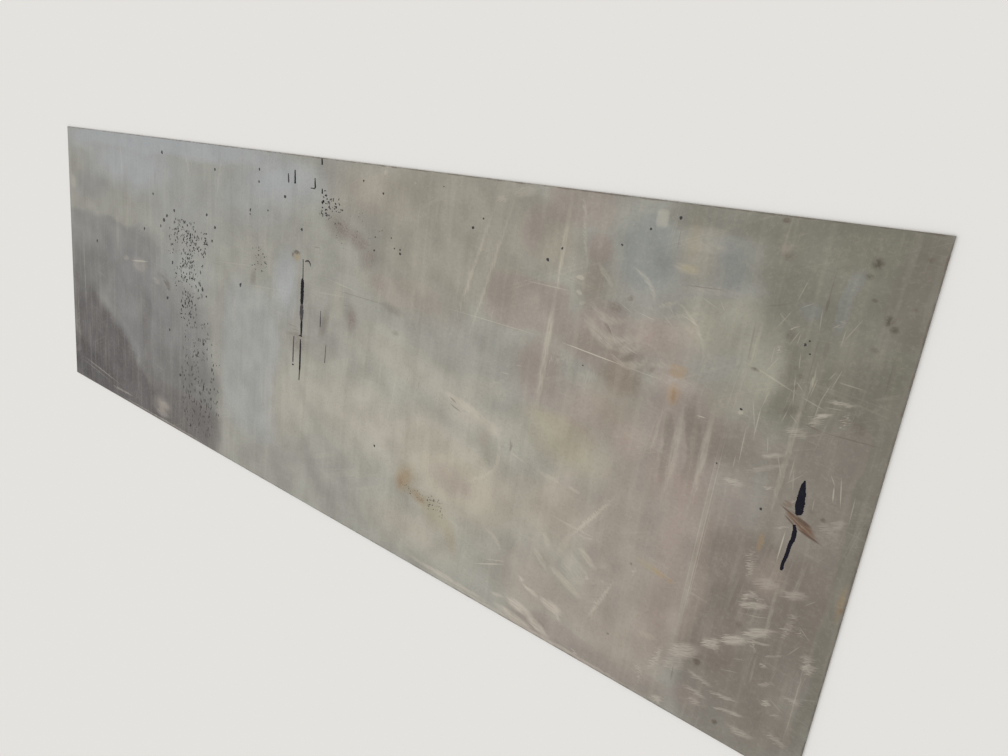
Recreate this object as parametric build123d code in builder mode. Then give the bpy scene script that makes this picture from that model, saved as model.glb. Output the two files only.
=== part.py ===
from build123d import *
import os
from math import radians, tan

# A hot-rolled steel plate as it is stocked and sold: one flat rectangle, cut on
# all four sides by a shear. It lies on its underside, and the origin is the
# centre of that side. +X runs along the plate, +Y across it and +Z out of the
# face that the shear blade entered.

# Stock size: 12 ft long, 4 ft wide and 3/16 in thick
plate_length = 3657.6
plate_width = 1219.2
plate_thickness = 4.7625

# Corners seen from above, dulled by handling
corner_radius = 1.5

# The sheared edge, from the blade's face down: the face is dragged down before
# it parts, the blade wipes a land square to the face, the rest tears and leans
# outwards, and the burr under it has been knocked off
roll_over_radius = 0.6
land_depth = 1.7
fracture_angle = 3.0
burr_chamfer = 0.2

fracture_depth = plate_thickness - land_depth
fracture_lean = fracture_depth * tan(radians(fracture_angle))

with BuildPart() as plate:
    # The torn part of the edge is widest at the underside
    with BuildSketch():
        RectangleRounded(plate_length, plate_width, corner_radius)
    extrude(amount=fracture_depth, taper=fracture_angle)

    # The wiped land stands on it, square to the faces
    with BuildSketch(Plane.XY.offset(fracture_depth)):
        RectangleRounded(
            plate_length - 2 * fracture_lean,
            plate_width - 2 * fracture_lean,
            corner_radius - fracture_lean,
        )
    extrude(amount=land_depth)

    blade_face = plate.faces().sort_by(Axis.Z)[-1]
    fillet(blade_face.edges(), radius=roll_over_radius)
    underside = plate.faces().sort_by(Axis.Z)[0]
    chamfer(underside.edges(), length=burr_chamfer)
plate.part.label = "plate"

os.makedirs("parts", exist_ok=True)
export_step(plate.part, "parts/plate.step")
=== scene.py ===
import math
import random

import bmesh
import bpy
from mathutils import Matrix, Vector


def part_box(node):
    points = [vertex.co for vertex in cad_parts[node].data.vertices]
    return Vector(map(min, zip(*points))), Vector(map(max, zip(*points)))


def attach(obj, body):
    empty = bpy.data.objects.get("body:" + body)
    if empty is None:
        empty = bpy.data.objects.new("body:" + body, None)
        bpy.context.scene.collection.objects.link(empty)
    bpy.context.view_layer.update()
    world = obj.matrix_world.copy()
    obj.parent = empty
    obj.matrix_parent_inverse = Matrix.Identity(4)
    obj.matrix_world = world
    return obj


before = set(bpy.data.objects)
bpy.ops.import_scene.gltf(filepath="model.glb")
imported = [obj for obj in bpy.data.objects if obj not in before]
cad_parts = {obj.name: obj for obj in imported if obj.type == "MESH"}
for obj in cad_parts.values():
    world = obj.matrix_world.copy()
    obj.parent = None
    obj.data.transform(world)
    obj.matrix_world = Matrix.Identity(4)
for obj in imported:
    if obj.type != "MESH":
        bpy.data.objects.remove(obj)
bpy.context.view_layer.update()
plate_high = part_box("plate")[1]
half_length = plate_high.x
half_width = plate_high.y
face_height = plate_high.z

# The frame is in metres. Marks, lumps and grains are in millimetres, and their places are measured
# from the middle of the plate: x along it, y across it
MM = 0.001


def metres(values):
    return Vector([MM * value for value in values])


def srgb(red, green, blue):
    """A colour as it shows on a screen, 0 to 255, as linear RGBA."""
    shares = [value / 255 for value in (red, green, blue)]
    linear = [s / 12.92 if s <= 0.04045 else ((s + 0.055) / 1.055) ** 2.4 for s in shares]
    return (*linear, 1.0)


def add_object(name, data):
    thing = bpy.data.objects.new(name, data)
    bpy.context.scene.collection.objects.link(thing)
    return thing


# Camera: at the photograph's viewing angle, over the plate's right end, measured from the plate's face
IMAGE_WIDTH = 1008
SENSOR_WIDTH = 36.0
FOCAL_PIXELS = 686
CLIP_START = 0.01
CLIP_END = 100
CAMERA_PLACE = Vector((1.942, 0.589, 1.478 + face_height))
CAMERA_AIM = Vector((0.891, 0.092, face_height))
CAMERA_ROLL = math.radians(7.52)


def add_camera():
    """The camera looks from its place to its aim, and rolls from the plate's +Y."""
    forward = (CAMERA_AIM - CAMERA_PLACE).normalized()
    across = forward.cross(Vector((0, 1, 0))).normalized()
    upright = across.cross(forward)
    up = upright * math.cos(CAMERA_ROLL) - across * math.sin(CAMERA_ROLL)
    right = forward.cross(up)
    data = bpy.data.cameras.new("camera")
    data.sensor_width = SENSOR_WIDTH
    data.lens = SENSOR_WIDTH * FOCAL_PIXELS / IMAGE_WIDTH
    data.clip_start = CLIP_START
    data.clip_end = CLIP_END
    camera = add_object("camera", data)
    turn = Matrix((right, up, -forward)).transposed().to_4x4()
    camera.matrix_world = Matrix.Translation(CAMERA_PLACE) @ turn
    bpy.context.scene.camera = camera


# Studio: a plain pale floor, an even white surround and one broad soft lamp
FLOOR_HALF_SIDE = 60.0
FLOOR_COLOUR = srgb(232, 230, 226)
FLOOR_ROUGHNESS = 0.9
FLOOR_SPECULAR = 0.1
SURROUND_STRENGTH = 0.8
LAMP_STRENGTH = 0.6
LAMP_SPREAD = math.radians(60)
LAMP_FROM = Vector((-1.0, -0.5, 1.7))


def add_floor():
    side = FLOOR_HALF_SIDE
    mesh = bpy.data.meshes.new("floor")
    corners = [(-side, -side, 0), (side, -side, 0), (side, side, 0), (-side, side, 0)]
    mesh.from_pydata(corners, [], [(0, 1, 2, 3)])
    floor = add_object("floor", mesh)
    material, tree, shader = new_material("floor")
    shader.inputs["Base Color"].default_value = FLOOR_COLOUR
    shader.inputs["Roughness"].default_value = FLOOR_ROUGHNESS
    shader.inputs["Specular IOR Level"].default_value = FLOOR_SPECULAR
    mesh.materials.append(material)


def add_surround():
    world = bpy.data.worlds.new("surround")
    world.use_nodes = True
    tree = world.node_tree
    tree.nodes.clear()
    sky = tree.nodes.new("ShaderNodeBackground")
    sky.inputs["Color"].default_value = (1, 1, 1, 1)
    sky.inputs["Strength"].default_value = SURROUND_STRENGTH
    out = tree.nodes.new("ShaderNodeOutputWorld")
    tree.links.new(sky.outputs[0], out.inputs["Surface"])
    bpy.context.scene.world = world


def add_lamp():
    data = bpy.data.lights.new("lamp", "SUN")
    data.energy = LAMP_STRENGTH
    data.angle = LAMP_SPREAD
    lamp = add_object("lamp", data)
    lamp.rotation_mode = "QUATERNION"
    lamp.rotation_quaternion = LAMP_FROM.to_track_quat("Z", "Y")


# The Mix node's sockets for colours
MIX_SHARE = 0
MIX_UNDER = 6
MIX_OVER = 7
MIX_RESULT = 2

# The domes of marks are so tall that their height never matters on the thin plate
TALL = 1000


class Tree:
    """A node tree. Each node is added after the nodes that feed it."""

    def __init__(self, node_tree):
        self.nodes = node_tree.nodes
        self.links = node_tree.links

    def feed(self, sockets, values):
        """Links each named or numbered socket to another node's, or sets its value."""
        for socket, value in values.items():
            if isinstance(value, bpy.types.NodeSocket):
                self.links.new(value, sockets[socket])
            else:
                sockets[socket].default_value = value

    def add(self, kind, values=(), **settings):
        """A node of one kind, its sockets fed in order or by name."""
        node = self.nodes.new(kind)
        for name, setting in settings.items():
            setattr(node, name, setting)
        self.feed(node.inputs, values if isinstance(values, dict) else dict(enumerate(values)))
        return node

    def math(self, operation, *values):
        return self.add("ShaderNodeMath", values, operation=operation).outputs[0]

    def vector(self, operation, *values):
        node = self.add("ShaderNodeVectorMath", values, operation=operation)
        return node.outputs["Value" if operation == "DOT_PRODUCT" else "Vector"]

    def times(self, vector, share):
        values = {"Vector": vector, "Scale": share}
        return self.add("ShaderNodeVectorMath", values, operation="SCALE").outputs[0]

    def ramp(self, value, low, high, at_low=0.0, at_high=1.0):
        """at_low where the value is low, at_high where it is high, and a smooth curve between them."""
        values = (value, low, high, at_low, at_high)
        settings = {"interpolation_type": "SMOOTHSTEP", "clamp": False}
        return self.add("ShaderNodeMapRange", values, **settings).outputs[0]

    def highest(self, masks):
        """The highest of several masks at each point."""
        found = 0.0
        for mask in masks:
            found = self.math("MAXIMUM", found, mask)
        return found

    def noise(self, point, size, stretch=(1, 1, 1), detail=2.0, roughness=0.5):
        """Cloudy noise from 0 to 1 whose lumps measure about `size`, longer where stretch is over 1."""
        scale = tuple(1 / (size * MM * share) for share in stretch)
        point = self.vector("MULTIPLY", point, scale)
        values = {"Vector": point, "Scale": 1, "Detail": detail, "Roughness": roughness}
        return self.add("ShaderNodeTexNoise", values)

    def cloud(self, point, size, low=0.35, high=0.65, **shape):
        """Noise with its contrast raised: 0 under low, 1 over high."""
        return self.ramp(self.noise(point, size, **shape).outputs[0], low, high)

    def paint(self, colour, mask, tone, strength=1):
        """The colour, covered with a tone as strongly as the mask and the strength say."""
        if strength != 1:
            mask = self.math("MULTIPLY", mask, strength)
        values = {MIX_SHARE: mask, MIX_UNDER: colour, MIX_OVER: tone}
        return self.add("ShaderNodeMix", values, data_type="RGBA").outputs[MIX_RESULT]

    def clouded(self, colour, point, tone, strength=1, **cloud):
        """The colour with clouds of a tone in it."""
        return self.paint(colour, self.cloud(point, **cloud), tone, strength)

    def dome(self, point, place, half, turn):
        """1 in the middle of an oval, falling evenly to 0 on its outline."""
        node = self.add("ShaderNodeTexGradient", (point,), gradient_type="SPHERICAL")
        mapping = node.texture_mapping
        mapping.vector_type = "TEXTURE"
        mapping.translation = (*place, 0)
        mapping.rotation = (0, 0, math.radians(turn))
        mapping.scale = (*half, TALL)
        return node.outputs[1]

    def bump(self, grain, depth):
        """A surface direction roughened by a grain that is so many millimetres deep."""
        height = self.math("MULTIPLY", grain, depth * MM)
        values = {"Height": height, "Distance": 1.0, "Strength": 1.0}
        return self.add("ShaderNodeBump", values).outputs[0]


def new_material(name):
    material = bpy.data.materials.new(name)
    material.use_nodes = True
    return material, Tree(material.node_tree), material.node_tree.nodes["Principled BSDF"]


FLOAT = "NodeSocketFloat"
COLOUR = "NodeSocketColor"
SOCKET_KINDS = {"Point": "NodeSocketVector", "Colour": COLOUR, "Grain": FLOAT}


def grouped(tree, build, inputs, output, name, *choices):
    """Builds part of a material as a node group of its own and adds it to the tree as one node."""
    group = bpy.data.node_groups.new(name, "ShaderNodeTree")
    for socket in inputs:
        group.interface.new_socket(socket, in_out="INPUT", socket_type=SOCKET_KINDS[socket])
    group.interface.new_socket("Out", in_out="OUTPUT", socket_type=output)
    inner = Tree(group)
    given = inner.nodes.new("NodeGroupInput").outputs
    result = build(inner, *[given[socket] for socket in inputs], *choices)
    inner.add("NodeGroupOutput", (result,))
    return tree.add("ShaderNodeGroup", inputs, node_tree=group).outputs[0]


def turned(tree, point, degrees):
    """The point's place in axes turned by an angle about Z."""
    angle = math.radians(degrees)
    x = tree.vector("DOT_PRODUCT", point, (math.cos(angle), math.sin(angle), 0))
    y = tree.vector("DOT_PRODUCT", point, (-math.sin(angle), math.cos(angle), 0))
    return tree.add("ShaderNodeCombineXYZ", (x, y, 0)).outputs[0]


# A patch is a row: place, half sizes, soft edge, strength (both in percent), then its turn and BOX if any
OVAL = "oval"
BOX = "box"
PERCENT = 0.01


def whole(x, y, half_long, half_wide, edge, strength, turn=0, shape=OVAL):
    """A patch's row with nothing left out."""
    return (x, y), (half_long, half_wide), PERCENT * edge, PERCENT * strength, turn, shape


def box(tree, point, place, half, turn):
    """1 in the middle of a box with rounded corners, falling to 0 on its outline."""
    if turn:
        point = turned(tree, point, turn)
        place = place @ Matrix.Rotation(math.radians(turn), 2)
    scale = (1 / half.x, 1 / half.y, 0)
    shift = (-place.x / half.x, -place.y / half.y, 0)
    inside = tree.vector("MULTIPLY_ADD", point, scale, shift)
    inside = tree.vector("MULTIPLY", inside, inside)
    inside = tree.vector("MULTIPLY", inside, inside)
    return tree.math("SUBTRACT", 1, tree.vector("DOT_PRODUCT", inside, (1, 1, 0)))


def patch(tree, point, shape, place, half, turn):
    """1 in the middle of a patch, falling to 0 on its outline."""
    laid = box if shape == BOX else Tree.dome
    return laid(tree, point, metres(place), metres(half), turn)


def full_at(shape, edge):
    """The height of a patch's dome at the inner end of its soft edge."""
    return 1 - (1 - edge) ** 4 if shape == BOX else edge


def paint_over(tree, point, colour, rows):
    """Paints patches over each other, each row led by its tone."""
    for tone, *row in rows:
        place, half, edge, strength, turn, shape = whole(*row)
        inside = patch(tree, point, shape, place, half, turn)
        mask = tree.ramp(inside, 0, full_at(shape, edge), 0, strength)
        colour = tree.paint(colour, mask, tone)
    return colour


def patches(tree, point, rows):
    """One mask for a list of patches. Those with the same shape, edge and strength share a ramp."""
    alike = {}
    for place, half, edge, strength, turn, shape in [whole(*row) for row in rows]:
        alike.setdefault((shape, edge, strength), []).append((place, half, turn))
    masks = (
        tree.ramp(
            tree.highest(patch(tree, point, shape, *place) for place in places),
            0, full_at(shape, edge), 0, strength,
        )
        for (shape, edge, strength), places in alike.items()
    )
    return tree.highest(masks)


def paint_by_tone(tree, point, colour, grain, families):
    """Paints patches tone by tone, each tone broken up by a grain."""
    for tone, rows in families.items():
        mask = tree.math("MULTIPLY", patches(tree, point, rows), grain)
        colour = tree.paint(colour, mask, tone)
    return colour


# A stroke is a row: start, end, width, strength in percent, then how far it bulges to its left, if it does
STROKE_EDGE = 0.6


def stroke(tree, point, start, end, width, bow=0):
    """1 along the middle of a line, falling to 0 on its outline."""
    start = metres(start)
    end = metres(end)
    middle = (start + end) / 2
    half = (end - start).length / 2
    way = (end - start).normalized()
    half_wide = width * MM / 2
    if not bow:
        turn = math.degrees(math.atan2(way.y, way.x))
        return tree.dome(point, middle.xy, (half, half_wide), turn)
    left = Vector((-way.y, way.x, 0))
    bulge = bow * MM / half_wide
    offset = tree.vector("SUBTRACT", point, middle)
    u = tree.vector("DOT_PRODUCT", offset, way / half)
    v = tree.vector("DOT_PRODUCT", offset, left / half_wide)
    u = tree.math("MULTIPLY", u, u)
    v = tree.math("MULTIPLY_ADD", u, bulge, tree.math("SUBTRACT", v, bulge))
    reach = tree.math("SQRT", tree.math("MULTIPLY_ADD", v, v, u))
    return tree.math("SUBTRACT", 1, reach)


def strokes(tree, point, rows):
    """One mask for a list of strokes. Those of one strength share a ramp."""
    alike = {}
    for x, y, end_x, end_y, width, strength, *bow in rows:
        alike.setdefault(PERCENT * strength, []).append(((x, y, 0), (end_x, end_y, 0), width, *bow))
    masks = (
        tree.ramp(tree.highest(stroke(tree, point, *line) for line in lines), 0, STROKE_EDGE, 0, strength)
        for strength, lines in alike.items()
    )
    return tree.highest(masks)


# Tones of the face, as they show: the steel's own tones, with painted reflection and sheen among them
# Painted reflection of a bright sky, pale and cool, mostly over the upper left of the face
FROST_REFLECTION = srgb(158, 161, 163)
WARM_BRIGHT = srgb(164, 157, 142)
TAN = srgb(144, 130, 112)
MILL_DARK = srgb(138, 136, 129)
MILL_LIGHT = srgb(147, 146, 137)
# Painted reflection of a bright sky over the left half of the face
PALE_COOL_REFLECTION = srgb(148, 149, 147)
COOL_GREY = srgb(129, 130, 130)
LEAD_GREY = srgb(117, 116, 115)
DARK_GREY = srgb(103, 101, 98)
# Painted dark reflection that darkens the lower left of the face
PLUM_REFLECTION = srgb(94, 89, 87)
DARK_PLUM_REFLECTION = srgb(81, 77, 77)
# Partly the steel's own tone, partly painted sheen that lightens the middle of the face
BRIGHT_AND_SHEEN = srgb(161, 156, 144)
WARM_GREY = srgb(144, 137, 127)
OLIVE = srgb(139, 134, 122)
DARK_OLIVE = srgb(113, 110, 98)
SAGE = srgb(140, 138, 125)
ROSE = srgb(138, 128, 120)
CLAY = srgb(146, 133, 123)
UMBER = srgb(116, 107, 98)
SLATE = srgb(126, 128, 125)
CREAM = srgb(180, 174, 158)
STRAW = srgb(147, 139, 112)
EARTH = srgb(138, 123, 98)
OCHRE = srgb(150, 127, 94)
RUST = srgb(120, 92, 70)
SMUDGE = srgb(98, 89, 79)
MAUVE = srgb(114, 102, 94)
SAND = srgb(152, 142, 131)
HAY = srgb(151, 144, 126)
CHALK = srgb(184, 175, 162)
# Painted dark reflection, deepest in the lower left corner
DEEP_PLUM_REFLECTION = srgb(64, 60, 61)
SPOT = srgb(82, 76, 66)
CUT_DARK = srgb(118, 112, 104)
CUT_LIGHT = srgb(152, 149, 142)
TORN = srgb(88, 80, 72)
SCRAPE_BROWN = srgb(106, 82, 66)
SCRAPE_DARK = srgb(86, 68, 56)

# Broad tones with painted reflection and sheen among them, painted over each other: a tone and its patch
BROAD_TONES_AND_REFLECTIONS = [
    (PALE_COOL_REFLECTION, -1200, 560, 900, 160, 90, 90), (COOL_GREY, -1580, 360, 340, 100, 80, 50),
    (FROST_REFLECTION, -1220, 470, 550, 130, 80, 80), (FROST_REFLECTION, -900, 610, 850, 70, 70, 80, 0, BOX),
    (FROST_REFLECTION, -1680, 580, 300, 80, 90, 70), (LEAD_GREY, -1110, 210, 150, 70, 80, 60),
    (PALE_COOL_REFLECTION, -800, 360, 500, 260, 90, 60), (LEAD_GREY, -1550, 70, 620, 170, 20, 70, 0, BOX),
    (DARK_GREY, -1600, -20, 400, 160, 80, 70), (LEAD_GREY, -1200, -100, 340, 360, 70, 80),
    (COOL_GREY, -920, 100, 200, 140, 90, 60), (PALE_COOL_REFLECTION, -720, 110, 260, 180, 90, 70),
    (LEAD_GREY, -870, -330, 340, 420, 80, 90, 0, BOX), (DARK_GREY, -780, -470, 320, 260, 80, 80, 0, BOX),
    (PLUM_REFLECTION, -800, -540, 340, 140, 60, 80, 0, BOX), (PLUM_REFLECTION, -1090, -300, 70, 280, 90, 50, 0, BOX),
    (LEAD_GREY, -1300, -260, 260, 160, 70, 70, -30), (DARK_GREY, -1100, -440, 100, 140, 80, 70),
    (LEAD_GREY, -1200, -300, 120, 140, 80, 80), (LEAD_GREY, -1420, 100, 140, 90, 80, 80),
    (DARK_GREY, -1600, -120, 140, 80, 80, 90), (LEAD_GREY, -1360, -120, 240, 80, 90, 70),
    # Painted dark reflection over the lower left
    (DARK_PLUM_REFLECTION, -1660, -460, 480, 360, 20, 95, -22, BOX),
    (DARK_PLUM_REFLECTION, -1300, -560, 400, 210, 20, 85, -26, BOX), (DARK_PLUM_REFLECTION, -1560, -560, 700, 300, 90, 100),
    (PALE_COOL_REFLECTION, -320, 460, 400, 200, 90, 80), (PALE_COOL_REFLECTION, -300, -160, 200, 340, 40, 80, 0, BOX),
    # Partly painted sheen across the middle of the face
    (BRIGHT_AND_SHEEN, -60, -280, 200, 200, 90, 60), (FROST_REFLECTION, -120, 520, 340, 120, 90, 70),
    (BRIGHT_AND_SHEEN, 360, 550, 260, 120, 90, 90), (BRIGHT_AND_SHEEN, 190, 170, 50, 80, 90, 60),
    (BRIGHT_AND_SHEEN, 800, 40, 160, 60, 90, 60), (BRIGHT_AND_SHEEN, 900, -60, 80, 60, 90, 60),
    (BRIGHT_AND_SHEEN, 620, -120, 180, 100, 90, 70), (BRIGHT_AND_SHEEN, 320, -200, 560, 220, 90, 90, -4),
    (BRIGHT_AND_SHEEN, 500, 40, 400, 120, 90, 70, -8), (BRIGHT_AND_SHEEN, 780, -40, 200, 80, 80, 80, -14),
    (FROST_REFLECTION, -100, 170, 90, 180, 80, 60), (WARM_BRIGHT, 800, -260, 440, 220, 90, 90, -6),
    (WARM_BRIGHT, 600, -480, 340, 140, 90, 60), (WARM_GREY, 300, 520, 300, 140, 80, 60),
    (OLIVE, 660, 440, 340, 220, 50, 80, 0, BOX), (WARM_GREY, 500, 240, 340, 80, 80, 80, -6),
    (ROSE, 930, 310, 150, 90, 40, 80, 6, BOX), (ROSE, 930, 510, 80, 90, 70, 80),
    (ROSE, 1000, 130, 120, 160, 80, 90), (OLIVE, 1000, 490, 100, 130, 80, 100),
    (CLAY, 1150, 60, 160, 120, 80, 70), (STRAW, 1060, 10, 160, 50, 90, 40),
    (WARM_GREY, 1100, -200, 300, 200, 90, 70), (ROSE, 1120, 490, 50, 50, 60, 80),
    (OLIVE, 1120, 400, 120, 80, 80, 60, -30), (ROSE, 1170, 270, 170, 110, 60, 90),
    (UMBER, 1240, 190, 90, 60, 70, 80, -10), (UMBER, 1180, 245, 270, 50, 90, 60),
    (SLATE, 1260, 500, 110, 130, 60, 90, 20), (SLATE, 1460, 500, 80, 90, 80, 70),
    (CLAY, 1310, 310, 90, 60, 70, 80), (SAGE, 1450, 370, 110, 70, 40, 90, 8, BOX),
    (TAN, 1240, 130, 100, 140, 80, 40), (ROSE, 1340, 140, 80, 120, 80, 70),
    (UMBER, 1120, 410, 70, 130, 90, 50), (ROSE, 1050, 580, 120, 60, 70, 70, 0, BOX),
    (DARK_OLIVE, 1400, 600, 140, 50, 80, 50, 0, BOX), (ROSE, 1420, 80, 100, 180, 50, 90, 0, BOX),
    (UMBER, 1377, 50, 13, 110, 40, 50, 1, BOX), (UMBER, 1436, 60, 22, 130, 40, 60, 1, BOX),
    (UMBER, 1540, 110, 140, 140, 80, 80), (DARK_OLIVE, 1520, 580, 90, 70, 80, 60),
    (DARK_OLIVE, 1740, 560, 120, 60, 80, 50, 0, BOX), (CLAY, 1360, 240, 70, 70, 80, 60),
    (CLAY, 1360, -240, 160, 300, 70, 60, 0, BOX), (WARM_BRIGHT, 1120, -240, 160, 160, 90, 60),
    (SAND, 1120, -470, 300, 160, 90, 80), (SAND, 1430, -420, 100, 200, 90, 90),
    (ROSE, 1270, -580, 300, 50, 80, 70, 0, BOX), (CLAY, 1290, 40, 80, 90, 90, 80),
    (SAND, 1160, -200, 120, 200, 90, 60), (HAY, 1110, -40, 240, 100, 90, 80),
    (SAND, 780, -270, 140, 60, 90, 60), (UMBER, 1670, -360, 170, 300, 20, 60, 0, BOX),
    (UMBER, 1740, 20, 140, 400, 40, 70, 0, BOX), (DARK_OLIVE, 1680, 440, 180, 260, 40, 80, 0, BOX),
    (DARK_OLIVE, 1600, 270, 140, 140, 70, 80), (SAGE, 1550, 300, 55, 120, 60, 100),
    (SLATE, 1680, 460, 16, 70, 60, 50, -4, BOX), (SLATE, 1615, 425, 30, 25, 70, 55),
    (UMBER, 1570, -260, 70, 220, 30, 70, 0, BOX), (UMBER, 1660, -420, 120, 160, 70, 60),
    (CLAY, 1660, -160, 50, 70, 70, 50), (DARK_OLIVE, 1820, 0, 30, 620, 60, 60, 0, BOX),
    (UMBER, 1800, 500, 60, 120, 70, 40, 0, BOX), (ROSE, 1560, -550, 60, 40, 70, 70),
    (ROSE, 1560, -30, 100, 120, 90, 70), (CLAY, 1480, -240, 70, 260, 80, 55, 0, BOX),
    (OLIVE, 1500, 220, 80, 70, 90, 90), (SAND, 1390, 320, 120, 80, 90, 60),
    (SAND, 1350, -500, 200, 120, 90, 80), (OLIVE, 1370, 510, 80, 80, 90, 80),
    (DARK_OLIVE, 1520, 500, 70, 70, 90, 40), (UMBER, 1740, -530, 100, 90, 90, 60),
    # Painted dark reflection, deepest in the lower left corner
    (DEEP_PLUM_REFLECTION, -1640, -540, 300, 120, 80, 80, -20, BOX),
    (DARK_PLUM_REFLECTION, -1200, -600, 400, 80, 90, 60, 0, BOX), (PLUM_REFLECTION, -700, -550, 260, 110, 90, 80),
    (DARK_GREY, -1740, -80, 160, 160, 90, 80), (SAGE, 1460, 350, 75, 55, 20, 70, 8, BOX),
]

# Stains and smudges: the patches of each tone
STAINS = {
    MAUVE: [
        (180, 400, 100, 55, 90, 70, -14), (260, 375, 110, 45, 90, 70, -20),
        (320, 330, 70, 70, 90, 55, -40), (370, 260, 70, 50, 90, 40, -40), (260, 120, 40, 65, 90, 70),
        (-10, -20, 90, 50, 90, 50),
    ],
    SMUDGE: [
        (440, 190, 80, 20, 90, 35, -10), (460, 120, 25, 12, 90, 40, 10), (125, 80, 30, 100, 90, 45, -16),
        (-20, 5, 100, 12, 90, 30, 4), (-290, 160, 25, 50, 90, 45, -10), (-260, 230, 60, 60, 90, 25),
        (-900, 20, 35, 25, 90, 70, -40), (-950, 50, 50, 12, 90, 40, -20), (1535, 600, 14, 8, 80, 90),
        (1555, 530, 20, 16, 90, 60), (1730, 473, 9, 5, 80, 80), (1753, 380, 14, 8, 90, 50),
        (1802, 563, 10, 8, 90, 60), (1802, 470, 5, 4, 80, 70), (1540, 287, 12, 6, 80, 80, -10),
        (1633, 296, 9, 8, 80, 60), (1622, 311, 8, 6, 80, 50), (1628, 271, 12, 8, 80, 60, 10),
        (1760, 225, 18, 30, 70, 45, 30), (1730, 230, 16, 20, 80, 35), (1632, 222, 40, 14, 70, 40, 24),
        (1594, 375, 12, 16, 80, 50, -30), (1745, 14, 9, 6, 80, 80), (1720, 22, 8, 8, 90, 40),
        (1635, -297, 13, 13, 70, 50), (1562, -438, 12, 12, 50, 80), (1633, -567, 9, 9, 50, 80),
        (1328, -487, 6, 5, 80, 60), (1353, -270, 5, 5, 80, 70), (945, -95, 5, 20, 80, 50, -6),
    ],
    OCHRE: [
        (-40, 276, 26, 20, 70, 60), (552, -336, 45, 65, 90, 60, -30), (1374, 182, 26, 36, 90, 70),
        (1374, 238, 24, 18, 70, 50, 0, BOX), (1425, -261, 32, 9, 90, 70, -16),
        (1458, -268, 12, 9, 80, 50), (1636, -85, 10, 34, 80, 60), (1818, -150, 10, 60, 90, 50),
    ],
    STRAW: [
        (-42, 272, 14, 10, 60, 50), (700, -400, 110, 70, 90, 50, -20), (1352, 470, 34, 14, 80, 70),
        (1350, 540, 26, 80, 90, 30), (1400, -256, 60, 16, 90, 50, -10),
    ],
    EARTH: [
        (560, -330, 60, 85, 90, 60, -30), (615, -368, 75, 30, 90, 80, -14),
        (770, -455, 35, 80, 90, 40, 24),
    ],
    RUST: [
        (540, -345, 18, 34, 90, 30), (636, -377, 22, 12, 90, 40), (1375, 180, 10, 26, 90, 40),
        (1822, -165, 6, 10, 90, 60),
    ],
    CLAY: [
        (1545, 545, 16, 20, 90, 50), (720, -250, 100, 50, 90, 40, 10), (850, -100, 30, 50, 90, 50),
    ],
    SPOT: [
        (-41, 291, 26, 10, 80, 80), (-62, 280, 9, 12, 80, 70), (1718, 542, 17, 17, 90, 90),
        (1710, 516, 12, 9, 90, 70), (1763, 440, 15, 15, 80, 80, -20), (1776, 426, 12, 12, 80, 70, -20),
    ],
    WARM_GREY: [(-965, -540, 110, 60, 70, 55)],
    UMBER: [
        (1218, 264, 26, 8, 60, 90, 28), (1246, 238, 36, 12, 70, 90, 28), (1180, 297, 28, 6, 70, 80, -40),
        (1190, 350, 30, 20, 80, 70, -10), (1225, 378, 14, 10, 80, 70, 30),
        (1310, 225, 14, 10, 80, 60, 40),
    ],
    SAGE: [(870, -150, 30, 60, 90, 80, 10)],
}

# Straight streaks where a cloth was drawn over the face, as strokes
DRAWN_STREAKS = [
    (1024, 640, 1016, 300, 18, 50), (1016, 390, 1008, 10, 26, 80), (1018, 470, 1018, 350, 7, 100),
    (805, 600, 668, 120, 14, 50), (862, 610, 735, 120, 14, 50), (380, 445, 640, 515, 6, 50),
    (640, 515, 780, 560, 6, 30), (1474, 200, 1468, -70, 26, 60), (1403, 190, 1398, -120, 26, 40),
    (1356, 160, 1346, 20, 10, 40), (1505, 180, 1500, -430, 14, 30), (1535, 400, 1530, 280, 12, 40),
    (1650, 310, 1640, -40, 18, 50), (1660, 330, 1656, 240, 8, 80), (1693, -140, 1693, -330, 12, 40),
    (1688, -330, 1686, -450, 8, 40), (1785, -280, 1785, -540, 4, 60), (-1697, 200, -1690, -320, 14, 60),
    (-1305, 590, -1288, 420, 22, 60), (-1350, 300, -1340, 80, 40, 35), (-1240, 350, -1260, 150, 30, 30),
    (-775, 590, -728, 470, 14, 60), (-510, 590, -545, 400, 14, 50), (-1050, 560, -1045, 100, 20, 30),
    (1188, 180, 1110, 160, 30, 40), (1000, 175, 1100, 200, 12, 70),
]

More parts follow.
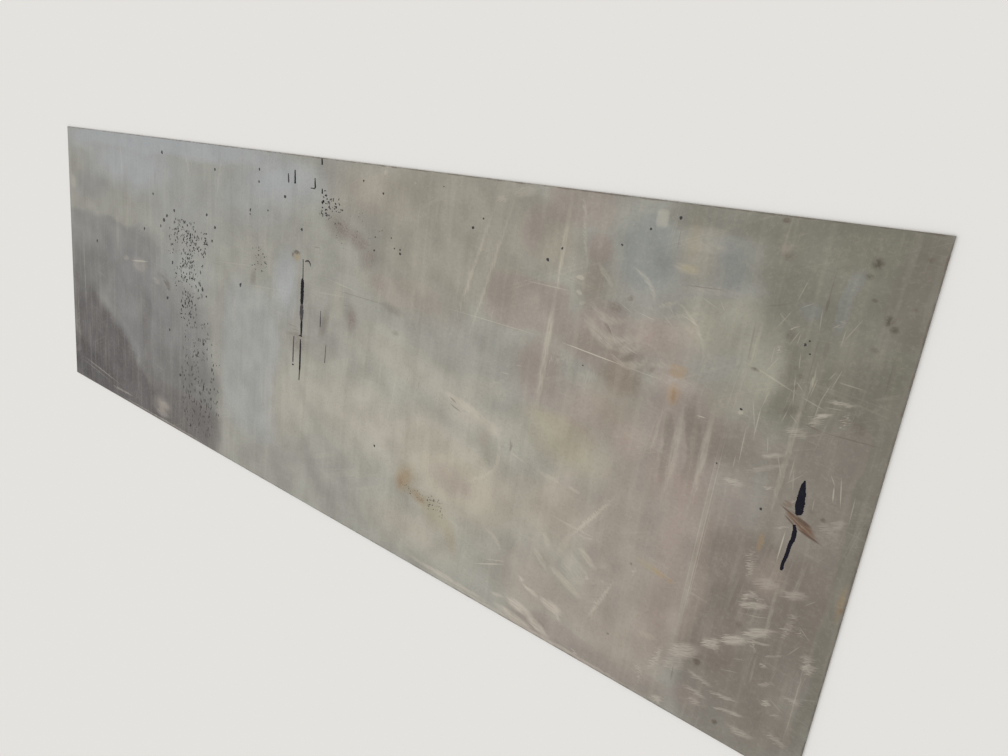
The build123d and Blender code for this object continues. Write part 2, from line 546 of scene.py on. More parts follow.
# Curved strokes of a rag
RAG_STROKES = [
    (1060, 570, 1098, 420, 13, 42), (1050, 600, 1075, 540, 11, 50), (1118, 452, 1180, 390, 18, 48),
    (1110, 365, 1250, 340, 28, 48, -36), (1090, 345, 1300, 325, 50, 54, -70),
    (1180, 262, 1290, 290, 25, 42, -20), (1190, 235, 1310, 262, 25, 48, -28),
    (1200, 453, 1290, 368, 17, 54, 22), (1290, 366, 1350, 400, 14, 48), (1300, 345, 1420, 385, 14, 30),
    (1320, 402, 1430, 262, 11, 54, 26), (1280, 360, 1470, 230, 17, 18, 40),
    (1290, 200, 1330, 130, 20, 18), (1290, 235, 1400, 250, 17, 30), (1325, -320, 1255, -490, 14, 70),
    (1370, -270, 1358, -310, 8, 50), (1170, -310, 1250, -365, 22, 50), (1090, -237, 1260, -247, 8, 60),
    (1190, -258, 1250, -252, 8, 50), (1030, -128, 1128, -140, 17, 50), (1140, -140, 1190, -144, 13, 60),
    (855, -222, 925, -150, 11, 50), (885, -365, 965, -420, 17, 60, 14), (760, -45, 925, -100, 42, 50, 20),
    (935, -105, 1010, -125, 8, 50), (1400, -440, 1460, -435, 22, 40), (1290, -100, 1160, -290, 14, 90),
    (1175, -250, 1135, -370, 30, 50), (1150, -300, 1235, -420, 80, 50), (1110, -375, 1250, -437, 30, 90),
    (1195, -285, 1268, -335, 26, 80), (1060, -345, 1125, -405, 26, 70), (1085, -285, 1120, -340, 30, 50),
    (640, -5, 900, -75, 34, 70, 14), (895, -70, 885, -210, 20, 60, 18), (885, -200, 790, -260, 14, 50),
]

# Chalky smears rubbed on with a hand at the lower right, as strokes
CHALK_SMEARS = [
    (1486, -456, 1568, -400, 52, 90), (1562, -390, 1608, -358, 32, 90), (1595, -395, 1600, -360, 12, 60),
    (1598, -357, 1668, -320, 34, 100), (1640, -325, 1708, -274, 32, 90), (1660, -300, 1720, -268, 12, 80),
    (1668, -305, 1682, -350, 7, 80), (1650, -330, 1720, -308, 9, 70), (1700, -345, 1745, -318, 6, 50),
    (1455, -535, 1472, -435, 18, 80), (1420, -515, 1442, -585, 9, 70), (1510, -420, 1520, -500, 44, 50),
    (1530, -470, 1620, -483, 15, 60), (1600, -495, 1680, -487, 13, 60), (1540, -513, 1610, -520, 17, 60),
    (1620, -530, 1700, -513, 13, 80), (1560, -540, 1600, -545, 21, 60), (1655, -560, 1735, -555, 24, 60),
    (1745, -520, 1800, -535, 21, 50), (1620, -250, 1690, -222, 24, 90), (1628, -234, 1655, -200, 20, 100),
    (1650, -205, 1672, -225, 12, 70), (1700, -185, 1760, -160, 30, 60), (1640, -180, 1700, -165, 36, 50),
    (1622, -100, 1632, -185, 15, 60), (1742, -220, 1728, -290, 12, 60), (1738, -235, 1742, -210, 18, 60),
    (1755, -240, 1768, -262, 9, 60), (1780, -290, 1795, -320, 21, 60), (1700, -370, 1712, -362, 15, 80),
    (1705, -420, 1735, -395, 12, 50), (1720, -453, 1742, -450, 18, 90), (1745, -475, 1765, -465, 9, 60),
    (1770, -420, 1800, -410, 18, 50), (1520, 30, 1580, 28, 21, 60), (1590, 104, 1645, 125, 15, 60),
    (1612, 40, 1640, 42, 7, 80), (1560, 55, 1660, 110, 15, 40), (1672, 18, 1690, 45, 9, 50),
    (1650, -45, 1685, -25, 7, 50), (1740, 10, 1775, -15, 30, 30), (1760, 0, 1790, 30, 24, 40),
    (1670, 218, 1712, 236, 12, 100), (1675, 200, 1692, 222, 24, 60), (1625, 185, 1680, 175, 24, 50),
    (1690, 262, 1755, 263, 11, 70), (1736, 255, 1738, 205, 9, 60), (1573, 350, 1590, 332, 7, 90),
    (1675, 405, 1690, 430, 9, 50), (1590, 385, 1605, 395, 6, 80), (1475, -590, 1505, -595, 30, 100),
    (840, 585, 930, 595, 36, 50), (790, 565, 830, 558, 21, 50), (860, 575, 880, 590, 24, 50),
    (1490, -460, 1520, -495, 50, 50), (1800, -420, 1760, -412, 12, 50), (1786, -300, 1802, -345, 20, 80),
]

# Chalky smears that run the long way: along the lower edge, at the left end and high up
LONG_SMEARS = [
    (1300, 520, 1460, 522, 30, 16), (1315, 556, 1440, 556, 30, 16), (1300, 475, 1400, 462, 26, 20),
    (1330, 425, 1500, 440, 30, 18), (1300, 215, 1470, 205, 40, 14), (1030, -468, 1052, -462, 18, 90),
    (1048, -475, 1110, -492, 18, 90), (1105, -488, 1195, -505, 39, 100), (1150, -500, 1190, -528, 15, 90),
    (985, -540, 1110, -562, 39, 100), (1060, -555, 1170, -600, 36, 90), (950, -580, 1120, -602, 33, 90),
    (940, -555, 1000, -545, 15, 60), (560, -583, 980, -592, 21, 70), (640, -601, 1500, -603, 15, 60),
    (1235, -593, 1250, -595, 21, 70), (-1010, -535, -870, -525, 44, 25),
    (-1020, -575, -880, -570, 40, 25), (-985, -505, -930, -585, 60, 22),
    (-1460, -573, -1200, -568, 14, 40), (-1400, -600, -500, -602, 10, 40),
    (-1800, 400, -1770, 320, 72, 40), (-1830, 600, -1800, 100, 48, 25), (-1820, 0, -1800, -450, 48, 15),
    (-1300, 70, -1230, 80, 30, 30), (-1220, 60, -1060, 70, 84, 25), (-1030, 30, -960, 10, 36, 25),
    (-1780, -100, -1775, -470, 10, 40), (-1790, -495, -1300, -550, 8, 40),
    (-1790, -515, -1400, -562, 6, 30),
]

# Pale flat dabs, as patches
DABS = [
    (1268, 570, 18, 24, 90, 90, 0, BOX), (1080, 402, 14, 8, 50, 100), (1083, 366, 11, 7, 50, 100, -20),
    (1097, 342, 12, 6, 60, 60, 20), (362, 590, 8, 12, 70, 80), (490, 571, 7, 5, 70, 90),
    (1240, -363, 8, 7, 60, 80), (1285, -352, 8, 5, 60, 60), (1532, 186, 7, 7, 60, 90),
    (1280, -310, 12, 12, 80, 40), (1200, -330, 80, 60, 80, 30, -20), (1100, -340, 60, 50, 90, 25),
    (1150, 150, 70, 40, 90, 30), (1245, -165, 28, 60, 60, 30, -36),
]

# Thin bright scratches, as strokes
BRIGHT_SCRATCHES = [
    (620, 240, 1050, 232, 3, 50), (1040, 233, 1250, 215, 4, 100), (1240, 216, 1340, 208, 3, 50),
    (1435, 151, 1462, 151, 3, 100), (900, 366, 1085, 365, 4, 50), (-1235, 70, -1050, 92, 8, 100),
    (862, -496, 985, -442, 5, 100), (900, -462, 990, -432, 4, 60), (1680, -30, 1677, -124, 4, 90),
    (1747, 95, 1753, 54, 4, 80), (1755, 120, 1770, 45, 3, 80), (1735, 115, 1750, 90, 3, 50),
    (1513, 180, 1504, -430, 4, 45), (1503, 180, 1494, -420, 3, 35), (1517, 20, 1508, -380, 2, 40),
    (1790, 90, 1792, 20, 3, 50), (1718, 55, 1720, 20, 3, 40), (1530, 295, 1640, 256, 5, 40),
    (1640, 256, 1700, 238, 4, 40), (1550, 170, 1552, 60, 3, 50), (1571, 220, 1570, 130, 4, 50),
    (1700, 303, 1760, 299, 4, 40), (455, -287, 468, -285, 3, 90), (875, 106, 910, 106, 3, 70),
    (920, 137, 950, 140, 3, 50), (-600, 172, -200, 210, 4, 30), (-780, 145, -640, 170, 4, 40),
    (-400, 120, -40, 150, 4, 30), (10, 170, 280, 190, 4, 30), (120, 230, 300, 210, 5, 40),
]

# Tangles of short bright scratches: middle, half sizes, how many, shortest, longest, turn and its spread
TANGLES = [
    ((1630, 340), (70, 100), 18, 20, 70, 75, 30), ((1600, 130), (90, 90), 12, 30, 90, 95, 20),
    ((1680, -380), (100, 200), 14, 20, 60, 15, 30), ((1280, 330), (160, 100), 10, 30, 90, -20, 30),
]
TANGLE_WIDTH = 3
TANGLE_STRENGTH = 40

# Dark scratches and scrapes, as strokes
DARK_SCRATCHES = [
    (140, 200, 440, 198, 3, 70), (1651, 530, 1648, 400, 4, 50), (1650, 470, 1649, 430, 8, 80),
    (1650, 400, 1648, 260, 5, 40), (1668, 390, 1668, 330, 14, 50), (1520, 400, 1522, 290, 6, 40),
    (1525, 420, 1580, 436, 5, 40), (1660, 202, 1700, 194, 4, 80), (1690, 194, 1828, 197, 4, 70),
    (1790, 380, 1790, 290, 4, 40), (1330, 432, 1460, 440, 3, 60), (1316, 560, 1316, 500, 3, 50),
    (703, -14, 738, -29, 6, 90), (705, -34, 760, -50, 6, 80), (580, 0, 580, -30, 3, 50),
    (530, 0, 529, -20, 3, 50), (940, -70, 943, -100, 5, 70), (-1003, 500, -1003, 400, 10, 40),
    (-945, 37, -900, 14, 10, 90), (-908, 8, -884, -3, 14, 90), (-1000, 62, -955, 34, 10, 50),
    (1510, -470, 1512, -530, 4, 60), (1110, -550, 1150, -575, 3, 70), (45, 322, 85, 324, 5, 70),
    (-64, 274, -18, 278, 13, 100, 18), (-85, 34, -10, 31, 6, 40), (-60, 20, 0, 22, 5, 50),
    (215, 158, 245, 160, 4, 50),
]

# The scrape across the marker line: its two dark edges, then its brown filling, as strokes
SCRAPE_EDGES = [
    (1653, 16, 1700, -4, 6, 80), (1684, 2, 1732, -14, 12, 80), (1666, -1, 1702, -26, 5, 80),
    (1692, -21, 1758, -42, 7, 90),
]
SCRAPE_FILL = [
    (1664, 10, 1750, -38, 32, 100), (1656, 20, 1688, 22, 22, 50),
]

# How far the outlines of marks wander: lump sizes and pushes
WIDE_LUMP = 220
WIDE_PUSH = 90
FINE_LUMP = 25
FINE_PUSH = 14
SLIGHT_PUSH = 6


def wander(tree, point, lump):
    """Cloudy noise as a sideways push, up to a half each way."""
    noise = tree.noise(point, lump).outputs["Color"]
    return tree.vector("SUBTRACT", noise, (0.5, 0.5, 0.5))


def pushed(tree, point, wandering, push):
    """The point moved sideways, so that what is laid over it comes out uneven."""
    return tree.vector("MULTIPLY_ADD", wandering, (push * MM, push * MM, 0), point)


def mill_skin(tree, point):
    """Rolled steel before anything touched it: faint clouds and the lines of rolling."""
    rolled = {"size": 4, "low": 0.4, "high": 0.75, "stretch": (60, 1, 1)}
    colour = tree.clouded(MILL_DARK, point, MILL_LIGHT, size=300, detail=3)
    return tree.clouded(colour, point, DARK_OLIVE, strength=0.08, **rolled)


def mottled(tree, point, colour):
    """Small unevenness of the skin, light and dark, and the faint run of old wipes down the face."""
    uneven = {"low": 0.46, "high": 0.7, "detail": 3, "roughness": 0.75}
    wiped = {"size": 18, "low": 0.48, "high": 0.7, "stretch": (1, 16, 1)}
    shaded = {"size": 30, "low": 0.5, "high": 0.72, "stretch": (1, 9, 1)}
    colour = tree.clouded(colour, point, CREAM, strength=0.11, size=10, **uneven)
    colour = tree.clouded(colour, point, SMUDGE, strength=0.15, size=7, **uneven)
    colour = tree.clouded(colour, point, CREAM, strength=0.08, **wiped)
    return tree.clouded(colour, point, SMUDGE, strength=0.07, **shaded)


def stained(tree, point, colour):
    """The face with its stains, in the grain of the mill skin."""
    speckle = tree.noise(point, size=6, roughness=0.7).outputs[0]
    grain = tree.ramp(speckle, low=0.32, high=0.6, at_low=0.45)
    inputs = {"Point": point, "Colour": colour, "Grain": grain}
    return grouped(tree, paint_by_tone, inputs, COLOUR, "stains", STAINS)


def smeared(tree, point, rows, turn, apart, slip):
    """Strokes made of fine lines that run one way and end unevenly, as a rag or a hand leaves them."""
    along = turned(tree, point, turn)
    level = tree.noise(along, size=apart, stretch=(9, 1, 1)).outputs[0]
    angle = math.radians(turn)
    way = (math.cos(angle), math.sin(angle), 0)
    slide = tree.times(way, tree.math("MULTIPLY_ADD", level, slip * MM, -slip * MM / 2))
    lines = tree.ramp(level, low=0.34, high=0.6, at_low=0.42)
    return tree.math("MULTIPLY", strokes(tree, tree.vector("ADD", point, slide), rows), lines)


# Smears: strokes, which way their lines run, how far apart these lie and how far they slip, tone, strength
SMEARS = {
    "drawn_streaks": (DRAWN_STREAKS, 91, 4, 100, CREAM, 0.5),
    "rag_strokes": (RAG_STROKES, -30, 4, 25, CREAM, 0.54),
    "chalk_smears": (CHALK_SMEARS, 22, 3, 60, CHALK, 0.72),
    "long_smears": (LONG_SMEARS, -12, 4, 50, CHALK, 1),
}
DAB_STRENGTH = 0.38


def rubbed(tree, point, colour):
    """The face with its smears and dabs, and the mask of what is chalky on it."""
    masks = {}
    for name, (rows, turn, apart, slip, tone, strength) in SMEARS.items():
        masks[name] = grouped(tree, smeared, {"Point": point}, FLOAT, name, rows, turn, apart, slip)
        colour = tree.paint(colour, masks[name], tone, strength)
    chalk = tree.math("MAXIMUM", masks["chalk_smears"], masks["long_smears"])
    dabs = grouped(tree, patches, {"Point": point}, FLOAT, "dabs", DABS)
    return tree.paint(colour, dabs, CREAM, DAB_STRENGTH), chalk


# Hairlines: which way each family runs and how far apart its lines are
HAIRLINES = [(82, 30), (24, 50), (-8, 50)]
HAIRLINE_STRENGTH = 0.1
BRIGHT_STRENGTH = 0.65
DARK_STRENGTH = 0.6


def hairlines(tree, point, turn, apart, gate):
    """A mask of long hairline scratches that run one way, broken up by a gate."""
    along = turned(tree, point, turn)
    level = tree.noise(along, size=apart, stretch=(40, 1, 1), detail=1).outputs[0]
    off = tree.math("ABSOLUTE", tree.math("SUBTRACT", level, 0.5))
    line = tree.ramp(off, low=0.012, high=0.002)
    return tree.math("MULTIPLY", line, gate)


def tangled():
    """The tangles, stroke by stroke."""
    chance = random.Random(5)
    rows = []
    for middle, reach, count, shortest, longest, turn, spread in TANGLES:
        for _ in range(count):
            x = middle[0] + reach[0] * chance.uniform(-1, 1)
            y = middle[1] + reach[1] * chance.uniform(-1, 1)
            angle = math.radians(chance.gauss(turn, spread))
            length = chance.uniform(shortest, longest)
            end = (x + length * math.cos(angle), y + length * math.sin(angle))
            rows.append((x, y, *end, TANGLE_WIDTH, TANGLE_STRENGTH))
    return rows


def scratched(tree, point, colour):
    """The face with its hairlines and single scratches, bright and dark."""
    gate = tree.cloud(point, size=160, low=0.5, high=0.66, detail=1)
    lines = tree.highest(hairlines(tree, point, turn, apart, gate) for turn, apart in HAIRLINES)
    colour = tree.paint(colour, lines, CREAM, HAIRLINE_STRENGTH)
    rows = BRIGHT_SCRATCHES + tangled()
    bright = grouped(tree, strokes, {"Point": point}, FLOAT, "bright_scratches", rows)
    colour = tree.paint(colour, bright, CREAM, BRIGHT_STRENGTH)
    dark = grouped(tree, strokes, {"Point": point}, FLOAT, "dark_scratches", DARK_SCRATCHES)
    return tree.paint(colour, dark, SMUDGE, DARK_STRENGTH)


def scraped(tree, point, near, colour):
    """The face with the scrape across the marker line."""
    fill = smeared(tree, near, SCRAPE_FILL, turn=-26, apart=4, slip=30)
    colour = tree.paint(colour, fill, SCRAPE_BROWN)
    return tree.paint(colour, strokes(tree, point, SCRAPE_EDGES), SCRAPE_DARK, strength=0.9)


# The dark rim along the plate's outline: how far in it starts, and how far in it is full
RIM_STARTS = 5
RIM_FULL = 1


def rimmed(tree, point, near, colour):
    """The face with its dark, ragged rim."""
    inside = tree.vector("ABSOLUTE", near)
    room = tree.vector("SUBTRACT", (half_length, half_width, 0), inside)
    axes = tree.add("ShaderNodeSeparateXYZ", (room,))
    distance = tree.math("MINIMUM", axes.outputs[0], axes.outputs[1])
    ragged = tree.cloud(point, size=20, low=0.3, high=0.6)
    rim = tree.math("MULTIPLY", tree.ramp(distance, RIM_STARTS * MM, RIM_FULL * MM), ragged)
    return tree.paint(colour, rim, SMUDGE, strength=0.7)


# The sheared side: how deep its wiped land is, and the blur where the torn band starts
LAND_DEPTH = 1.7
LAND_BLUR = 0.3


def sheared_side(tree, point):
    """The cut edge: a bright wiped land over a dull torn band, both lined by the blade and rusting."""
    colour = tree.clouded(CUT_DARK, point, CUT_LIGHT, size=0.9, high=0.7, stretch=(1, 1, 9))
    height = tree.vector("DOT_PRODUCT", point, (0, 0, 1))
    land_foot = face_height - LAND_DEPTH * MM
    torn = tree.ramp(height, land_foot + LAND_BLUR * MM, land_foot - LAND_BLUR * MM)
    colour = tree.paint(colour, torn, TORN, strength=0.55)
    bloom = {"size": 30, "low": 0.48, "high": 0.66, "roughness": 0.65}
    return tree.clouded(colour, point, RUST, strength=0.6, **bloom)


def underside_skin(tree, point, colour):
    """The side that lies down: mill skin with thin rust bloom and damp marks."""
    damp = {"size": 240, "low": 0.48, "high": 0.62, "detail": 1, "roughness": 0.6}
    colour = tree.clouded(colour, point, DARK_OLIVE, strength=0.35, **damp)
    bloom = {"size": 90, "low": 0.56, "high": 0.72, "detail": 3, "roughness": 0.68}
    return tree.clouded(colour, point, OCHRE, strength=0.6, **bloom)


# How far a surface has to face up to count as the face rather than the side, and where the change starts
FACE_UPRIGHT = 0.97
SIDE_UPRIGHT = 0.8
# The underside takes its clouds from elsewhere in the noise than the face does
UNDERSIDE_SHIFT = (7.0, 3.0, 1.0)
# The mill skin's finish, and what chalk adds to it
SMOOTHEST = 0.42
ROUGHEST = 0.54
METALLIC = 0.85
CHALK_ROUGHNESS = 0.12
CHALK_METALLIC = -0.4
GRAIN_DEPTH = 0.03


def marked_face(tree, point, skin, near, uneven):
    """The face with everything on it, and the mask of what is chalky there."""
    inputs = {"Point": uneven, "Colour": skin}
    # The broad tones, with painted reflection and sheen among them
    colour = grouped(tree, paint_over, inputs, COLOUR, "broad_tones_and_reflections", BROAD_TONES_AND_REFLECTIONS)
    colour = mottled(tree, point, colour)
    colour = stained(tree, near, colour)
    colour, chalk = rubbed(tree, near, colour)
    colour = scratched(tree, point, colour)
    colour = scraped(tree, point, near, colour)
    return rimmed(tree, point, near, colour), chalk


def steel_material():
    """Mill-finished steel that has been stacked, handled, dripped on and wiped, with painted reflection
    and sheen in its broad tones.
    """
    material, tree, shader = new_material("mill_steel")
    coordinates = tree.add("ShaderNodeTexCoord")
    place = coordinates.outputs["Object"]
    upright = tree.vector("DOT_PRODUCT", coordinates.outputs["Normal"], (0, 0, 1))
    top = tree.ramp(upright, SIDE_UPRIGHT, FACE_UPRIGHT)
    under = tree.ramp(upright, -SIDE_UPRIGHT, -FACE_UPRIGHT)
    point = tree.vector("ADD", place, tree.times(UNDERSIDE_SHIFT, under))
    fine = wander(tree, point, FINE_LUMP)
    near = pushed(tree, point, fine, SLIGHT_PUSH)
    uneven = pushed(tree, point, wander(tree, point, WIDE_LUMP), WIDE_PUSH)
    uneven = pushed(tree, uneven, fine, FINE_PUSH)

    skin = mill_skin(tree, point)
    face, chalk = marked_face(tree, point, skin, near, uneven)
    below = underside_skin(tree, point, skin)
    side = sheared_side(tree, place)
    colour = tree.paint(tree.paint(side, under, below), top, face)

    grain = tree.noise(point, size=1.6, stretch=(4, 1, 1), detail=0).outputs[0]
    bump = tree.bump(grain, GRAIN_DEPTH)
    patchy = tree.noise(point, size=100, detail=1).outputs[0]
    roughness = tree.ramp(patchy, low=0.3, high=0.7, at_low=SMOOTHEST, at_high=ROUGHEST)
    chalk = tree.math("MULTIPLY", chalk, top)
    values = {
        "Base Color": colour,
        "Roughness": tree.math("MULTIPLY_ADD", chalk, CHALK_ROUGHNESS, roughness),
        "Normal": bump,
        "Metallic": tree.math("MULTIPLY_ADD", chalk, CHALK_METALLIC, METALLIC),
    }
    tree.feed(shader.inputs, values)
    return material


PAINT_SMOOTHEST = 0.5
PAINT_ROUGHEST = 0.65
PAINT_GRAIN_DEPTH = 0.08
PAINT_SPECULAR = 0.1


def paint_material(name, tone, worn_tone, worn):
    """Dried paint, matt, worn thin in spots, and the more of them the higher `worn` is."""
    material, tree, shader = new_material(name)
    point = tree.add("ShaderNodeTexCoord").outputs["Object"]
    thin = {"size": 12, "low": 0.6 - worn, "high": 0.75 - worn, "detail": 4, "roughness": 0.6}
    colour = tree.clouded(tone, point, worn_tone, strength=0.5, **thin)
    patchy = tree.noise(point, size=6).outputs[0]
    roughness = tree.ramp(patchy, low=0.3, high=0.7, at_low=PAINT_SMOOTHEST, at_high=PAINT_ROUGHEST)
    bump = tree.bump(tree.noise(point, size=1.2).outputs[0], PAINT_GRAIN_DEPTH)
    tree.feed(shader.inputs, {"Base Color": colour, "Roughness": roughness, "Normal": bump})
    shader.inputs["Specular IOR Level"].default_value = PAINT_SPECULAR
    return material


# Runs of dried paint: height in the middle, depth into the face, widths, steps, and shares of a section
FILM_HEIGHT = 0.3 * MM
FILM_ROOT = 0.1 * MM
FULL_WIDTH = 8 * MM
NARROWEST = 0.2 * MM
FILM_STEP = 2 * MM
FEWEST_STEPS = 2
FILM_SECTION = (-1.0, -0.8, -0.4, 0.0, 0.4, 0.8, 1.0)


def between(before, start, end, after, share):
    """A point on the smooth curve from start to end that also heeds the points on either side."""
    slope = (end - before) / 2, (after - start) / 2
    square = share * share
    cube = square * share
    return (
        start * (2 * cube - 3 * square + 1)
        + slope[0] * (cube - 2 * square + share)
        + end * (3 * square - 2 * cube)
        + slope[1] * (cube - square)
    )


def stations(points):
    """Even steps along a run: its middle and half width, on a smooth curve through the points."""
    rows = [metres(point) for point in points]
    found = []
    for i in range(len(rows) - 1):
        before = rows[max(i - 1, 0)]
        after = rows[min(i + 2, len(rows) - 1)]
        steps = max(FEWEST_STEPS, round((rows[i + 1] - rows[i]).length / FILM_STEP))
        for step in range(steps):
            found.append(between(before, rows[i], rows[i + 1], after, step / steps))
    found.append(rows[-1])
    return found


def film_ring(mesh, middle, across, left, right):
    """One cross-section of a run of paint: a low dome on the face, closed underneath."""
    ring = []
    for share in FILM_SECTION:
        reach = left if share < 0 else right
        place = middle + across * share * reach
        rise = FILM_HEIGHT * min(1.0, (left + right) / FULL_WIDTH) * math.sqrt(1 - share * share)
        ring.append(mesh.verts.new((place.x, place.y, face_height + rise)))
    for reach in (right, -left):
        place = middle + across * reach
        ring.append(mesh.verts.new((place.x, place.y, face_height - FILM_ROOT)))
    return ring


def rippled(half_wide, chance):
    """A run's half width, made uneven."""
    return max(half_wide * (1 + RIPPLE * chance.uniform(-1, 1)), NARROWEST)


def add_run(mesh, points, chance):
    """One run of paint along its middle line, with a ragged outline."""
    rows = stations(points)
    rings = []
    for i, row in enumerate(rows):
        ahead = rows[min(i + 1, len(rows) - 1)]
        behind = rows[max(i - 1, 0)]
        way = (ahead - behind).xy.normalized()
        across = Vector((-way.y, way.x))
        left = rippled(row.z, chance)
        right = rippled(row.z, chance)
        rings.append(film_ring(mesh, row.xy, across, left, right))
    for ring, following in zip(rings, rings[1:]):
        for i in range(len(ring)):
            j = (i + 1) % len(ring)
            face = mesh.faces.new((ring[i], ring[j], following[j], following[i]))
            face.smooth = i < len(FILM_SECTION) - 1
    mesh.faces.new(rings[0])
    mesh.faces.new(list(reversed(rings[-1])))


def finish_film(mesh, name, material):
    """Turns a finished mesh into a piece of the plate's body."""
    bmesh.ops.recalc_face_normals(mesh, faces=mesh.faces)
    data = bpy.data.meshes.new(name)
    mesh.to_mesh(data)
    mesh.free()
    data.materials.append(material)
    piece = add_object(name, data)
    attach(piece, "root")


# The thick marker line near the right end, above and below the scrape: middle and half width
MARKER_LINE = [
    [(1692, 84, 1.2), (1691.5, 72, 4.8), (1693, 50, 7.8), (1694, 30, 8.8), (1696, 12, 8), (1698, 6, 5)],
    [(1693, -18, 3), (1697, -30, 4.4), (1698, -50, 4.8), (1695, -65, 4.2), (1694, -90, 4),
     (1691, -110, 3.6), (1691, -124, 3.6), (1691, -129, 1.8)],
]

# Runs of black paint left of the middle, as the marker line
PAINT_RUNS = [
    [(-5, 273, 1.8), (-3, 245, 2), (-1, 206, 2.8)],
    [(-5, 206, 3), (-3, 198, 7.8), (-2, 175, 8.8), (-1, 150, 8.8), (-1, 125, 7.8), (-1, 114, 4)],
    [(2, 68, 4.4), (3, 45, 5.8), (4, 20, 4.8), (4, 3, 3)], [(-10, 4, 0.8), (2, 6, 2.2), (10, 5, 0.8)],
    [(1, -6, 2), (3, -30, 4.2), (4, -70, 4.4), (5, -100, 4.4), (5, -116, 4), (4, -119, 2)],
    [(-40, -106, 1.4), (-35, -108, 2.6), (-29, -106, 1.2)],
]

# The same paint where it is thin or rubbed off to grey
GREY_RUNS = [
    [(-1, 118, 7), (0, 100, 10), (1, 80, 10), (2, 60, 6)], [(5, -118, 3.4), (4, -156, 2.8)],
    [(-36, -4, 2.6), (-36, -50, 3), (-35, -98, 3.6)], [(139, 6, 1.2), (138, -58, 2.2)],
    [(102, 115, 1.2), (103, 85, 2.4), (104, 60, 2.2)],
    [(6, 266, 2), (22, 271, 3.2), (34, 263, 2.6), (36, 254, 1.2)], [(-106, 546, 2.8), (-102, 516, 4.4)],
    [(16, 510, 1.6), (40, 510, 2.2)], [(86, 508, 2), (96, 509, 1.4)],
]

# Short strokes of the same paint near the upper edge
PAINT_DASHES = [
    [(-70.5, 560, 3.4), (-67, 516, 4.6)], [(36, 543, 2.4), (40, 512, 4.2)], [(66, 607, 3), (69, 588, 4)],
    [(75, 514, 2.2), (77, 498, 4)],
]

# Flecks that stand alone: place and size
LONE_FLECKS = [
    (-272, 545, 5), (-272, 502, 5), (-214, 410, 4), (-120, 467, 6), (-20, 370, 5), (270, 557, 4),
    (361, 528, 4), (340, 355, 4), (340, 396, 3), (410, -270, 4), (410, 403, 3), (427, 374, 3),
    (452, 374, 3), (453, 362, 4), (978, 430, 4), (1016, 464, 3), (1179, 497, 3), (1244, 543, 3),
    (1310, 576, 4), (1127, 189, 2), (1627, 362, 3), (1634, 371, 2), (1640, 345, 2), (1620, -10, 3),
    (1505, 57, 2), (1531, 194, 3), (-1020, 382, 6), (-945, 553, 7), (-850, 334, 6), (-608, 346, 6),
    (-548, 306, 6), (-1096, 228, 7), (-555, 520, 6), (-1550, 110, 7), (-370, 118, 7), (-320, 400, 5),
    (-320, 385, 4), (601, 573, 2), (755, 504, 3), (722, 476, 4), (-931, 286, 8), (-908, 306, 7),
    (-958, 258, 5), (-568, 252, 6), (-632, 50, 8), (-604, 27, 5), (-905, -36, 8), (-888, -172, 6),
    (-800, -352, 8), (-864, 120, 6), (-620, -172, 7), (-660, -218, 7),
]

# Clusters: place, half sizes, how many, smallest and largest fleck, longest to wide, share upright
FLECK_CLUSTERS = [
    ((-810, 255), (40, 50), 42, 2, 5.5, 3, 0.6), ((-735, 240), (45, 65), 60, 2, 5.5, 3, 0.6),
    ((-650, 225), (50, 50), 44, 2, 5.5, 3, 0.6), ((-860, 220), (40, 60), 12, 2, 5, 3, 0.6),
    ((-755, 120), (45, 60), 62, 2, 5.5, 2.6, 0.7), ((-680, 80), (50, 80), 40, 2, 5.5, 3.6, 0.8),
    ((-800, 60), (40, 70), 22, 2, 5.5, 3.4, 0.7), ((-735, -40), (60, 60), 44, 3, 6, 3, 0.7),
    ((105, 482), (30, 15), 22, 2, 4.5, 2.6, 0.2), ((150, 470), (35, 20), 16, 2, 4, 2.6, 0.2),
    ((95, 445), (25, 15), 14, 2, 4.5, 2.6, 0.4), ((140, 430), (45, 20), 12, 1.5, 3, 2.6, 0.2),
]

# Paler clusters, as the others
PALE_CLUSTERS = [
    ((-600, -160), (45, 85), 24, 2, 5.5, 4, 0.9), ((-700, -150), (80, 70), 26, 2, 5.5, 3, 0.8),
    ((-710, -275), (80, 60), 34, 2, 6, 4, 0.9), ((-690, -400), (105, 70), 54, 2.5, 6.5, 4, 1),
    ((-660, -500), (110, 70), 54, 2.5, 6.5, 4, 1), ((-545, -330), (50, 130), 36, 2, 6, 4, 1),
    ((-780, 150), (110, 170), 46, 1, 3, 2, 0.7), ((600, -362), (40, 15), 18, 1, 2, 1.6, 0.2),
    ((695, -375), (35, 28), 36, 1, 2.5, 1.6, 0.3), ((-255, 235), (45, 45), 26, 1.5, 4, 3, 0.1),
    ((260, 400), (110, 60), 24, 1, 2, 2, 0.5),
]

# How unevenly wide a run is
RIPPLE = 0.14

# Flecks: corners, height, share left on top, reach of a corner, lengths of lone ones, spread of turns
FLECK_SIDES = 9
FLECK_HEIGHT = 0.25 * MM
FLECK_TOP = 0.85
FLECK_REACH = (0.7, 1.2)
LONE_LENGTH = (1.0, 1.4)
TURN_SPREAD = 0.3

# Tones of the paint, each followed by what it is where it is worn
INK = srgb(20, 19, 30)
WORN_INK = srgb(48, 46, 58)
BLACK = srgb(18, 16, 22)
WORN_BLACK = srgb(60, 56, 60)
GREY = srgb(68, 64, 66)
WORN_GREY = srgb(112, 108, 104)
FLECK = srgb(62, 61, 62)
WORN_FLECK = srgb(100, 98, 96)
PALE_FLECK = srgb(80, 76, 73)
WORN_PALE_FLECK = srgb(106, 102, 98)


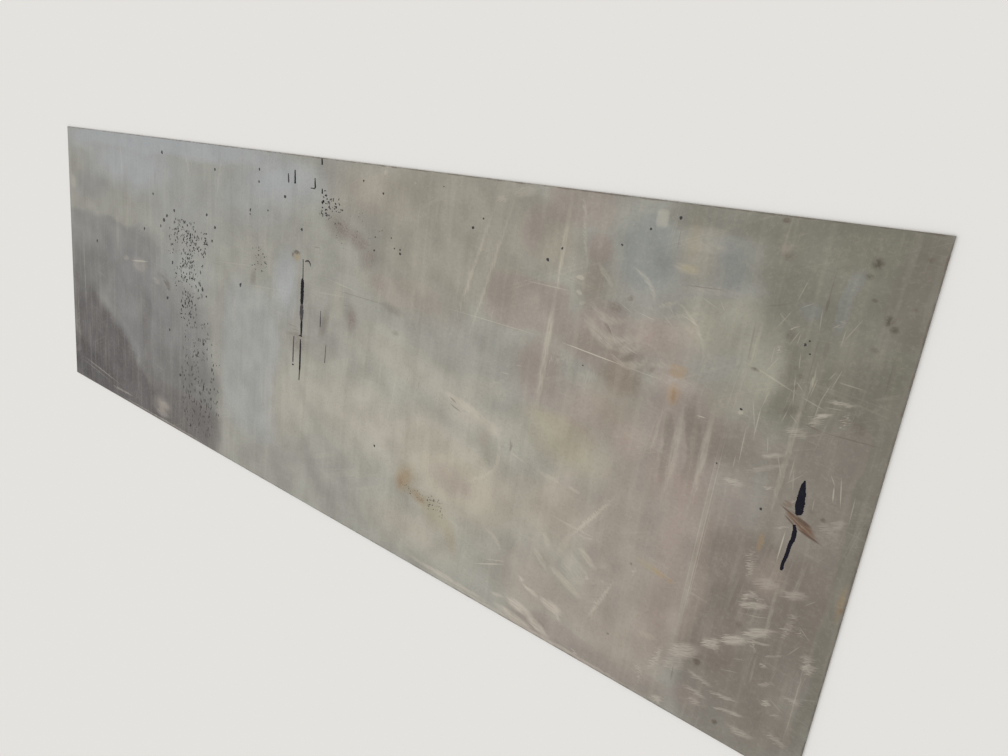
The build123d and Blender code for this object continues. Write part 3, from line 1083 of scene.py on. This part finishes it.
def add_fleck(mesh, place, size, length, turn, chance):
    """One dried drop: an uneven low dome, drawn out along its turn and closed underneath."""
    middle = metres((*place, 0))
    foot = []
    rim = []
    first = chance.uniform(0, math.tau)
    for i in range(FLECK_SIDES):
        angle = first + math.tau * i / FLECK_SIDES
        reach = size * MM * chance.uniform(*FLECK_REACH)
        spoke = Vector((reach * math.cos(angle) * length, reach * math.sin(angle), 0))
        spoke.rotate(Matrix.Rotation(turn, 3, "Z"))
        low = middle + spoke
        top = middle + FLECK_TOP * spoke
        foot.append(mesh.verts.new((low.x, low.y, face_height - FILM_ROOT)))
        rim.append(mesh.verts.new((top.x, top.y, face_height + FLECK_HEIGHT)))
    mesh.faces.new(rim)
    mesh.faces.new(list(reversed(foot)))
    for i in range(FLECK_SIDES):
        j = (i + 1) % FLECK_SIDES
        mesh.faces.new((foot[i], foot[j], rim[j], rim[i]))


def add_cluster(mesh, middle, reach, count, smallest, largest, longest, upright, chance):
    for _ in range(count):
        x = middle[0] + reach[0] * chance.uniform(-1, 1)
        y = middle[1] + reach[1] * chance.uniform(-1, 1)
        size = chance.uniform(smallest, largest)
        length = chance.uniform(1, longest)
        turn = chance.gauss(math.pi / 2 if chance.random() < upright else 0, TURN_SPREAD)
        add_fleck(mesh, (x, y), size / math.sqrt(length), length, turn, chance)


def add_runs():
    """The marker line and the runs of paint."""
    chance = random.Random(3)
    for name, runs, material in (
        ("marker_line", MARKER_LINE, paint_material("marker_ink", INK, WORN_INK, 0.0)),
        ("paint_runs", PAINT_RUNS + PAINT_DASHES, paint_material("black_paint", BLACK, WORN_BLACK, 0.0)),
        ("worn_runs", GREY_RUNS, paint_material("worn_paint", GREY, WORN_GREY, 0.1)),
    ):
        mesh = bmesh.new()
        for run in runs:
            add_run(mesh, run, chance)
        finish_film(mesh, name, material)


def add_spatter():
    """The flecks of paint, dark and pale."""
    chance = random.Random(11)
    dark = bmesh.new()
    for x, y, size in LONE_FLECKS:
        add_fleck(dark, (x, y), size, chance.uniform(*LONE_LENGTH), chance.uniform(0, math.pi), chance)
    for cluster in FLECK_CLUSTERS:
        add_cluster(dark, *cluster, chance)
    finish_film(dark, "spatter", paint_material("spatter", FLECK, WORN_FLECK, 0.1))
    pale = bmesh.new()
    for cluster in PALE_CLUSTERS:
        add_cluster(pale, *cluster, chance)
    finish_film(pale, "pale_spatter", paint_material("pale_spatter", PALE_FLECK, WORN_PALE_FLECK, 0.1))


steel = steel_material()
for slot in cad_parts["plate"].material_slots:
    slot.material = steel
add_runs()
add_spatter()

add_camera()
add_floor()
add_surround()
add_lamp()

bpy.context.scene.view_settings.view_transform = "Standard"
